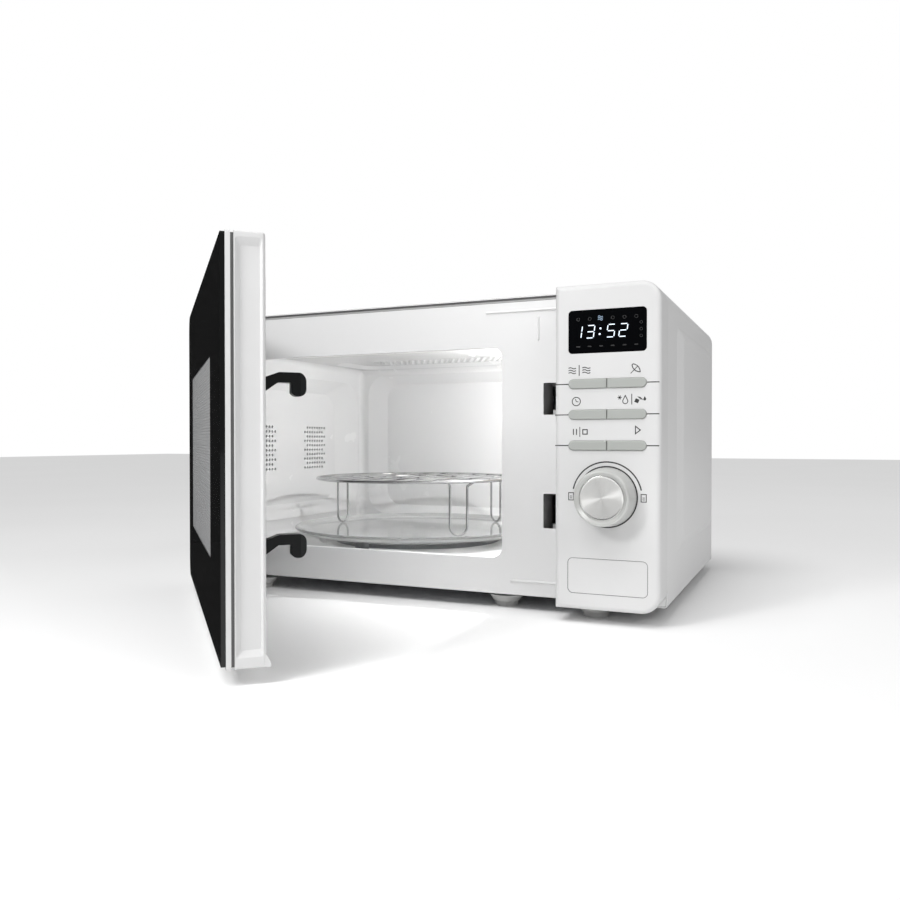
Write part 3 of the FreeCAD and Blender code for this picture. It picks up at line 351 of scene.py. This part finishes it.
def flat_mesh(groups, thickness, place):
    """Flat plates, each from an outer loop and any holes, drawn in (a, b) and laid by a matrix."""
    whole = bmesh.new()
    for loops in groups:
        curve = bpy.data.curves.new("outline", "CURVE")
        curve.dimensions, curve.fill_mode, curve.extrude = "2D", "BOTH", thickness / 2
        for loop in loops:
            line = curve.splines.new("POLY")
            line.points.add(len(loop) - 1)
            for point, (a, b) in zip(line.points, loop):
                point.co = (a, b, 0, 1)
            line.use_cyclic_u = True
        holder = bpy.data.objects.new("outline", curve)
        mesh = bpy.data.meshes.new_from_object(holder)
        mesh.transform(place)
        whole.from_mesh(mesh)
        bpy.data.meshes.remove(mesh)
        bpy.data.objects.remove(holder)
        bpy.data.curves.remove(curve)
    bmesh.ops.remove_doubles(whole, verts=whole.verts, dist=1e-6)
    return mesh_from(whole)


def facing_front(y):
    """Matrix that stands a drawing in (x, z) upright at depth y, facing -Y."""
    return Matrix(((1, 0, 0, 0), (0, 0, -1, y), (0, 1, 0, 0), (0, 0, 0, 1)))


def on_door(depth):
    """Matrix for a drawing in closed-door (x, z), at a depth behind the glass, at rest."""
    turn = Matrix.Translation((hinge.x, hinge.y, 0)) @ Matrix.Rotation(-door_open, 4, "Z")
    turn = turn @ Matrix.Translation((-hinge.x, -hinge.y, 0))
    return turn @ facing_front(panel_y + depth)


def rounded(a0, a1, b0, b1, radius, steps=8):
    """Rounded rectangle; radius is one number or four, from the low corner anticlockwise."""
    radii = radius if isinstance(radius, tuple) else (radius,) * 4
    corners = [(a0, b0, 180), (a1, b0, 270), (a1, b1, 0), (a0, b1, 90)]
    loop = []
    for (a, b, start), r in zip(corners, radii):
        centre_a = a + r if a == a0 else a - r
        centre_b = b + r if b == b0 else b - r
        for step in range(steps + 1):
            angle = math.radians(start + 90 * step / steps)
            loop.append((centre_a + r * math.cos(angle), centre_b + r * math.sin(angle)))
    return loop


def arc(a, b, radius, start, end, steps):
    """Points on an arc, with angles in degrees."""
    angles = [math.radians(start + (end - start) * step / steps) for step in range(steps + 1)]
    return [(a + radius * math.cos(angle), b + radius * math.sin(angle)) for angle in angles]


def ring(a, b, radius, width, steps=48):
    """Outer and inner loop of a ring of even width."""
    last = 360 * (1 - 1 / steps)
    return [arc(a, b, radius + side * width / 2, 0, last, steps - 1) for side in (1, -1)]


def stroke(points, width):
    """Outline of a line of even width through the points."""
    points = [Vector(point) for point in points]
    left, right = [], []
    for index, point in enumerate(points):
        before = points[max(index - 1, 0)]
        after = points[min(index + 1, len(points) - 1)]
        along = (after - before).normalized()
        across = Vector((-along.y, along.x)) * width / 2
        left.append(tuple(point + across))
        right.append(tuple(point - across))
    return [left + right[::-1]]


def closed_stroke(points, width):
    """Outline of a closed line, as an outer loop and a hole."""
    points = [Vector(point) for point in points]
    outer, inner = [], []
    for index, point in enumerate(points):
        before, after = points[index - 1], points[(index + 1) % len(points)]
        first, second = (point - before).normalized(), (after - point).normalized()
        across = Vector((-first.y - second.y, first.x + second.x)).normalized()
        reach = width / 2 / max(0.35, across.dot(Vector((-first.y, first.x))))
        outer.append(tuple(point - across * reach))
        inner.append(tuple(point + across * reach))
    return [outer, inner]


def in_mm(groups):
    """Metres from millimetres, for drawings."""
    return [[[(a * MM, b * MM) for a, b in loop] for loop in loops] for loops in groups]


def lathe(profile, steps):
    """Mesh turned round Z from (radius, height) points."""
    def build(made):
        rows = []
        for radius, height in profile:
            if radius < 1e-9:
                rows.append([made.verts.new((0, 0, height))] * steps)
            else:
                rows.append([made.verts.new((radius * math.cos(2 * math.pi * s / steps),
                                             radius * math.sin(2 * math.pi * s / steps), height))
                             for s in range(steps)])
        for low_row, high_row in zip(rows, rows[1:]):
            for s in range(steps):
                after = (s + 1) % steps
                corners = [low_row[s], low_row[after], high_row[after], high_row[s]]
                unique = list(dict.fromkeys(corners))
                if len(unique) > 2:
                    made.faces.new(unique)
    return mesh_of(build)


# ---------------------------------------------------------------- door glass and screen

door_left, door_right = -220.0, 138.2
window_x, window_z = (-163.5, 58.3), (63.0, 195.5)


def make_door_glass():
    """Printed black glass round a lightly tinted window, whose face is set back a little."""
    door_low, door_high = span("door_glass")
    thickness, set_back, rounding = 2.7, 0.8, 0.4
    outline = rounded(door_left, door_right, door_low.z / MM, door_high.z / MM, (15, 1, 1, 15), 12)
    hole = rounded(*window_x, *window_z, 3)
    border = flat_mesh(in_mm([[outline, hole]]), thickness * MM, on_door(thickness / 2 * MM))
    pane = flat_mesh(in_mm([[hole]]), (thickness - set_back) * MM,
                     on_door((thickness + set_back) / 2 * MM))
    border = finish_piece("door_glass_border", border, "black_glass", "door")
    edge = border.modifiers.new("edge", "BEVEL")
    edge.width, edge.segments = rounding * MM, 2
    edge.limit_method, edge.angle_limit = "ANGLE", math.radians(60)
    finish_piece("door_window_pane", pane, "tinted_glass", "door")
    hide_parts("door_glass")


def make_screen():
    """Perforated sheet, a grid of cells with an eight-sided hole each, just before the pane."""
    pitch, hole, depth, thickness = 2.0, 0.70, 0.5, 0.3
    columns = int((window_x[1] - window_x[0]) / pitch)
    rows = int((window_z[1] - window_z[0]) / pitch)
    first_x = sum(window_x) / 2 - columns * pitch / 2
    first_z = sum(window_z) / 2 - rows * pitch / 2

    def build(made):
        def corner(column, row):
            x, z = first_x + column * pitch, first_z + row * pitch
            return made.verts.new((x * MM, z * MM, 0))
        grid = [[corner(column, row) for row in range(rows + 1)] for column in range(columns + 1)]
        for column in range(columns):
            for row in range(rows):
                x, z = first_x + (column + 0.5) * pitch, first_z + (row + 0.5) * pitch
                rim = [made.verts.new((a * MM, b * MM, 0))
                       for a, b in arc(x, z, hole, 22.5, 337.5, 7)]
                corners = [grid[column + 1][row + 1], grid[column][row + 1],
                           grid[column][row], grid[column + 1][row]]
                for side in range(4):
                    here, after = corners[side], corners[(side + 1) % 4]
                    near, far, past = rim[2 * side], rim[2 * side + 1], rim[(2 * side + 2) % 8]
                    made.faces.new((here, far, near))
                    made.faces.new((here, after, past, far))
    mesh = mesh_of(build)
    mesh.transform(on_door(depth * MM))
    screen = finish_piece("door_screen", mesh, "screen_metal", "door")
    skin = screen.modifiers.new("thickness", "SOLIDIFY")
    skin.thickness, skin.offset = thickness * MM, 0
    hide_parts("window_screen")


def make_groove_shade():
    """Painted shadow band at the bottom of the groove round the door's edge."""
    low_z, high_z, thickness, depth = 10.3, 259.0, 1.8, 6.65
    loops = [rounded(door_left + inset, door_right - inset, low_z + inset, high_z - inset,
                     (14, 0.5, 0.5, 14), 10) for inset in (1.1, 1.5)]
    mesh = flat_mesh(in_mm([loops]), thickness * MM, on_door(depth * MM))
    # dark grey strip painted as the groove's shadow
    finish_piece("door_groove_shade", mesh, "seam_dark", "door")


# ---------------------------------------------------------------- control panel prints

ink_thickness = 0.06
upper_row, middle_row, lower_row = 193.6, 170.0, 146.8


def wave_rows(x, z, width, height, line=0.65):
    """Three short wavy lines stacked one above the other."""
    rise, steps = 0.45, 16
    groups = []
    for level in (z - height / 3, z, z + height / 3):
        points = [(x + width * (s / steps - 0.5), level + rise * math.sin(2 * math.pi * s / steps))
                  for s in range(steps + 1)]
        groups.append(stroke(points, line))
    return groups


def divider(x, z, height):
    return [stroke([(x, z - height / 2), (x, z + height / 2)], 0.6)]


def star(x, z, radius):
    """Three crossed lines."""
    groups = []
    for angle in (0, 60, 120):
        dx, dz = radius * math.cos(math.radians(angle)), radius * math.sin(math.radians(angle))
        groups.append(stroke([(x - dx, z - dz), (x + dx, z + dz)], 0.55))
    return groups


def drop_outline(x, z, radius):
    return arc(x, z, radius, 150, 390, 20) + [(x, z + radius * 2.2)]


def leaf(x, z, size):
    """Two arcs meeting at points, with a midrib."""
    upper = arc(x - size * 0.3, z - size * 0.3, size * 0.95, 0, 90, 12)
    lower = arc(x + size * 0.65, z + size * 0.65, size * 0.95, 180, 270, 12)
    rib = stroke([(x - size * 0.45, z - size * 0.45), (x + size * 0.40, z + size * 0.40)], 0.55)
    return [closed_stroke(lower[1:-1] + upper[:-1], 0.65), rib]


def frame_outline(x, z, half_width, half_height, line):
    """Upright rectangle drawn as a line."""
    return closed_stroke([(x - half_width, z - half_height), (x + half_width, z - half_height),
                          (x + half_width, z + half_height), (x - half_width, z + half_height)],
                         line)


def upper_signs():
    """Waves for the power of the oven and of the grill, and a leaf for saving power."""
    return (wave_rows(153.2, upper_row, 5.8, 5.6) + divider(158.6, upper_row, 8.2)
            + wave_rows(164.2, upper_row, 6.2, 5.6) + leaf(200.6, upper_row - 0.6, 6.4))


def middle_signs():
    """A clock, and frost, a drop and small food for defrosting."""
    x, z = 156.4, middle_row
    groups = [ring(x, z, 3.2, 0.65), stroke([(x - 0.7, z + 1.9), (x, z), (x + 1.7, z - 0.4)], 0.6)]
    groups += star(189.6, 172.4, 1.6)
    groups.append(closed_stroke(drop_outline(193.8, 169.6, 1.9), 0.6))
    groups += divider(198.6, 171.0, 8.0)
    groups.append([[(200.5, 168.9), (203.2, 167.8), (204.3, 170.4), (201.6, 171.6)]])
    for along, down in ((0.0, 0.0), (0.8, 0.16), (1.6, 0.32)):
        groups.append(stroke([(203.0 + along, 172.9 - down), (205.4 + along, 170.6 - down)], 0.35))
    groups.append([drop_outline(208.2, 170.8, 1.0)])
    return groups


def lower_signs():
    """Two bars and a square for pause and stop, and a triangle for start."""
    half_bar = 2.3
    groups = [stroke([(x, lower_row - half_bar), (x, lower_row + half_bar)], 0.75)
              for x in (154.2, 156.6)]
    groups += divider(159.2, lower_row, 7.6)
    groups.append(frame_outline(163.2, lower_row, 1.7, 1.7, 0.75))
    groups.append(closed_stroke([(201.4, 145.2), (205.0, 148.0), (201.4, 150.8)], 0.7))
    return groups


def knob_signs_and_shadow():
    """An arc over the knob, a small frame on each side, and a dark ring round its foot: painted shadow of the gap
    between knob and panel.
    """
    x, z = knob_centre.x / MM, knob_centre.z / MM
    foot_radius = (knob_high.x - knob_low.x) / 2 / MM
    # the ring round the knob's foot is painted shadow, drawn in print ink
    groups = [stroke(arc(x, z, 26.4, 12, 168, 60), 1.0), ring(x, z, foot_radius + 0.6, 1.0, 96)]
    for side in (-1, 1):
        middle_x, middle_z = x + side * 27.6, z - 0.2
        groups.append(frame_outline(middle_x, middle_z, 1.9, 2.8, 0.6))
        groups += [stroke([(middle_x - 0.9, middle_z + dz), (middle_x + 0.9, middle_z + dz)], 0.5)
                   for dz in (-1.2, 0.2)]
    return groups


def make_panel_prints():
    groups = upper_signs() + middle_signs() + lower_signs() + knob_signs_and_shadow()
    mesh = flat_mesh(in_mm(groups), ink_thickness * MM,
                     facing_front(panel_y - ink_thickness / 2 * MM))
    # prints and the painted shadow ring round the knob
    finish_piece("panel_prints_and_knob_shadow", mesh, "print_ink", "cabinet")


# ---------------------------------------------------------------- display

# Lit bars of each digit shown, lettered clockwise from the top one, with the middle one last.
SEGMENTS = {"1": "bc", "2": "abged", "3": "abgcd", "5": "afgcd"}


def digit(symbol, x, z, width, height, line):
    """Seven-segment figure as separate bars with pointed ends; x, z is its low corner."""
    half, gap, lean = height / 2, 0.22, math.tan(math.radians(8))
    spans = {"a": ((0, height), (width, height)), "b": ((width, half), (width, height)),
             "c": ((width, 0), (width, half)), "d": ((0, 0), (width, 0)), "e": ((0, 0), (0, half)),
             "f": ((0, half), (0, height)), "g": ((0, half), (width, half))}
    bars = []
    for name in SEGMENTS[symbol]:
        start, end = (Vector(point) for point in spans[name])
        along = (end - start).normalized()
        across = Vector((-along.y, along.x)) * line / 2
        start, end = start + along * (gap + line / 6), end - along * (gap + line / 6)
        inner_start, inner_end = start + along * line / 2, end - along * line / 2
        corners = [start, inner_start - across, inner_end - across,
                   end, inner_end + across, inner_start + across]
        bars.append([[(x + c.x + c.y * lean, z + c.y) for c in corners]])
    return bars


def make_display():
    """The clock's figures, one lit sign and the unlit marks, on the face of the lens."""
    low, high = display_low / MM, display_high / MM
    centre_x, centre_z = (low.x + high.x) / 2, (low.z + high.z) / 2
    height, width, line = 9.4, 5.6, 0.7
    foot_z = centre_z - height / 2 - 0.2
    icon = wave_rows(centre_x - 5.0, high.z - 6.6, 3.6, 3.6, 0.5)
    lit = []
    for symbol, offset in (("1", -25.6), ("3", -16.0), ("5", -0.4), ("2", 8.9)):
        lit += digit(symbol, centre_x + offset, foot_z, width, height, line)
    lit += [[arc(centre_x - 5.2 + dz * 0.14, foot_z + height / 2 + dz, 0.75, 0, 345, 15)]
            for dz in (-2.1, 2.1)]
    unlit = []
    for column in range(6):
        x = centre_x - 22 + column * 8.8
        if column != 2:
            unlit.append(ring(x, high.z - 6.8, 1.2, 0.4, 12))
        unlit.append([rounded(x - 1.4, x + 1.4, low.z + 4.6, low.z + 5.6, 0.3, 2)])
    unlit += [ring(centre_x + 25.6, centre_z + dz, 1.0, 0.4, 12) for dz in (-5, 0, 5)]
    place = facing_front(display_low.y - ink_thickness / 2 * MM)
    for name, groups, material in (("display_icon", icon, "display_icon"),
                                   ("display_figures", lit, "display_lit"),
                                   ("display_marks", unlit, "display_dim")):
        mesh = flat_mesh(in_mm(groups), ink_thickness * MM, place)
        finish_piece(name, mesh, material, "cabinet")


# ---------------------------------------------------------------- knob

def make_knob_disc():
    """Spun dished disc with a rolled edge, standing for the plain one."""
    low, high = span("knob_disc")
    radius, height = (high.x - low.x) / 2, high.y - low.y
    dish = [(radius * 0.94 * step / 24, height * (0.80 + 0.12 * (step / 24) ** 2))
            for step in range(25)]
    rim = [(radius * 0.97, height), (radius * 0.985, height * 0.98), (radius, height * 0.88)]
    mesh = lathe(dish + rim + [(radius, 0), (0, 0)], 128)
    disc = finish_piece("knob_disc_spun", mesh, "spun_metal", "knob", 40)
    place = Matrix.Translation((knob_centre.x, high.y, knob_centre.z))
    disc.matrix_world = place @ Matrix.Rotation(math.pi / 2, 4, "X")
    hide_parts("knob_disc")


# ---------------------------------------------------------------- cabinet details

def make_seam_shades():
    """Painted shadow strips at the bottom of the panel's seams and round the release button."""
    seam_levels, half_height = (183.3, 159.9, 136.4), 0.38
    sides = ((fascia_low.x / MM + 0.1, 150.1), (209.8, fascia_high.x / MM - 1.4))
    seams = [[rounded(start, end, z - half_height, z + half_height, 0.05, 1)]
             for z in seam_levels for start, end in sides]
    mesh = flat_mesh(in_mm(seams), 0.1 * MM, facing_front(panel_y + 1.14 * MM))
    # near-black strips painted as the shadow in the seams
    finish_piece("panel_seam_shadows", mesh, "seam_rubber", "cabinet")
    low, high = (corner / MM for corner in span("release_button"))
    gap = [rounded(low.x - grow, high.x + grow, low.z - grow, high.z + grow, radius)
           for grow, radius in ((0.39, 4.0), (0.08, 3.7))]
    mesh = flat_mesh(in_mm([gap]), 0.4 * MM, facing_front(panel_y + 0.28 * MM))
    # near-black ring painted as the shadow in the gap round the button
    finish_piece("release_gap_shadow", mesh, "seam_rubber", "cabinet")


def make_vent_shade():
    """Dark sheet behind the left wall's perforations: painted shade seen through the holes, which also stands for
    the duct behind them.
    """
    wall_x = span("cavity_left_wall")[0].x
    outline = rounded(-90, 82, 90, 172, 4)
    lay = Matrix(((0, 0, 1, wall_x - 0.0006), (1, 0, 0, 0), (0, 1, 0, 0), (0, 0, 0, 1)))
    mesh = flat_mesh(in_mm([[outline]]), 0.4 * MM, lay)
    # dark grey sheet painted as the shade behind the holes
    finish_piece("vent_shade", mesh, "grey_plastic", "cabinet")


def make_top_seal():
    """Dark strip in the gap between cover and front plate, a foam seal painted dark as the gap's shadow, with a
    lighter grey strip below it: painted shade on the front plate's top edge.
    """
    low_z, high_z = plate_high.z + 0.0002, fascia_high.z - 0.0014
    middle_z, thickness = (low_z + high_z) / 2, 0.003
    left, right = plate_low.x + 0.016, fascia_low.x
    # the dark strip is painted gap shadow, the grey one painted shade on the white plate's edge
    for name, start, end, inset, material in (
            ("top_seal_shadow", middle_z, high_z, 0.0020, "seam_dark"),
            ("plate_edge_shade", low_z, middle_z, 0.0012, "seam_grey")):
        outline = rounded(left / MM, right / MM, start / MM, end / MM, 0.2, 3)
        place = facing_front(plate_low.y + inset + thickness / 2)
        finish_piece(name, flat_mesh(in_mm([[outline]]), thickness, place), material,
                     "cabinet")


def add_cove(made, radius, corner, along, toward_a, toward_b):
    """Prism with one concave face, from a corner along a vector."""
    steps = 8
    section = [Vector((0, 0, 0))]
    for step in range(steps + 1):
        angle = math.pi / 2 * step / steps
        section.append(toward_a * radius * (1 - math.sin(angle))
                       + toward_b * radius * (1 - math.cos(angle)))
    first = [made.verts.new(corner + point) for point in section]
    last = [made.verts.new(corner + along + point) for point in section]
    for index in range(len(section)):
        after = (index + 1) % len(section)
        made.faces.new((first[index], first[after], last[after], last[index]))
    made.faces.new(first[::-1])
    made.faces.new(last)


def make_coves():
    """Small concave fillets where the cavity's sheets meet."""
    radius = 0.006
    left, right = floor_low.x, floor_high.x
    front, rear = plate_low.y + 0.0075, ceiling_high.y
    bottom, top = floor_high.z, ceiling_low.z
    x_axis, y_axis, z_axis = Vector((1, 0, 0)), Vector((0, 1, 0)), Vector((0, 0, 1))
    made = bmesh.new()
    for x, inwards in ((left, x_axis), (right, -x_axis)):
        add_cove(made, radius, Vector((x, rear, bottom)), z_axis * (top - bottom), inwards, -y_axis)
    length = y_axis * (rear - front)
    for z, inwards in ((top, -z_axis), (bottom, z_axis)):
        for x, sideways in ((left, x_axis), (right, -x_axis)):
            add_cove(made, radius, Vector((x, front, z)), length, sideways, inwards)
    for z, inwards in ((top, -z_axis), (bottom, z_axis)):
        add_cove(made, radius, Vector((left, rear, z)), x_axis * (right - left), -y_axis, inwards)
    finish_piece("cavity_coves", mesh_from(made), "cavity_enamel", "cabinet", 50)


make_door_glass()
make_screen()
make_groove_shade()
make_panel_prints()
make_display()
make_knob_disc()
make_seam_shades()
make_vent_shade()
make_top_seal()
make_coves()

# ---------------------------------------------------------------- stage


def stage_sheet(name, corners, material):
    mesh = bpy.data.meshes.new(name)
    mesh.from_pydata(corners, [], [tuple(range(len(corners)))])
    mesh.materials.append(material)
    sheet = bpy.data.objects.new(name, mesh)
    bpy.context.collection.objects.link(sheet)
    sheet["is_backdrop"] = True
    return sheet


def make_floor():
    size = 6.0
    material = new_material("floor_white", grey(0.93), 0.85)
    vary_color(material, grey(0.925), grey(0.935), 3)
    corners = [(-size, -size, 0), (size, -size, 0), (size, size, 0), (-size, size, 0)]
    stage_sheet("floor", corners, material)


def make_flags():
    """Black cards beside the door that only its gloss sees."""
    material = new_material("flag_black", grey(0.015), 1.0, Specular_IOR_Level=0.0)
    low, high, near_end, far_end = 0.0005, 0.5, (-0.61, -0.07), (-0.40, 0.17)
    flags = {
        "flag_standing": [(*near_end, low), (*far_end, low), (*far_end, high), (*near_end, high)],
        "flag_lying": [(0.03, -0.42, low), (-0.23, -0.14, low), (*far_end, low), (*near_end, low),
                       (-0.04, -0.43, low)],
    }
    for name, corners in flags.items():
        card = stage_sheet(name, corners, material)
        card.visible_camera = card.visible_diffuse = False
        card.visible_transmission = card.visible_shadow = False


def add_light(name, kind, power, place=(0, 0, 0)):
    data = bpy.data.lights.new(name, kind)
    data.energy = power
    light = bpy.data.objects.new(name, data)
    light.location = place
    bpy.context.collection.objects.link(light)
    return light


def add_disc_light(name, place, target, size, power):
    """Round soft light aimed at a point."""
    light = add_light(name, "AREA", power, place)
    light.data.shape, light.data.size = "DISK", size
    light.rotation_euler = (Vector(target) - Vector(place)).to_track_quat("-Z", "Y").to_euler()
    light.visible_camera = False


def add_overhead():
    """Broad soft light from above, a little to the front and left."""
    light = add_light("overhead", "SUN", 1.75)
    light.data.angle = math.radians(40)
    light.rotation_euler = Vector((-0.12, -0.36, 0.92)).to_track_quat("Z", "Y").to_euler()
    light.visible_glossy = False


def add_cavity_lamp():
    """The oven's own lamp, just inside the perforations of the right wall."""
    lamp = add_light("cavity_lamp", "POINT", 1.25, (0.083, -0.019, 0.212))
    lamp.data.shadow_soft_size = 0.006
    lamp.visible_camera = lamp.visible_glossy = lamp.visible_transmission = False


def make_world():
    """White surroundings; the light they give is softer than the white the camera sees."""
    light_given, white_seen = 0.24, 1.0
    world = bpy.data.worlds.new("studio")
    bpy.context.scene.world = world
    world.use_nodes = True
    tree = world.node_tree
    background = tree.nodes["Background"]
    background.inputs["Color"].default_value = (1, 1, 1, 1)
    path = tree.nodes.new("ShaderNodeLightPath")
    strength = tree.nodes.new("ShaderNodeMapRange")
    strength.inputs["To Min"].default_value = light_given
    strength.inputs["To Max"].default_value = white_seen
    tree.links.new(path.outputs["Is Camera Ray"], strength.inputs["Value"])
    tree.links.new(strength.outputs["Result"], background.inputs["Strength"])


make_floor()
make_flags()
make_world()
add_overhead()
add_disc_light("key", (-0.17, -0.85, 0.56), (0.10, -0.15, 0.14), 0.20, 2.7)
add_disc_light("side", (1.1, -0.8, 1.2), (0.15, -0.1, 0.12), 0.9, 5.5)
add_cavity_lamp()

low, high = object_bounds()
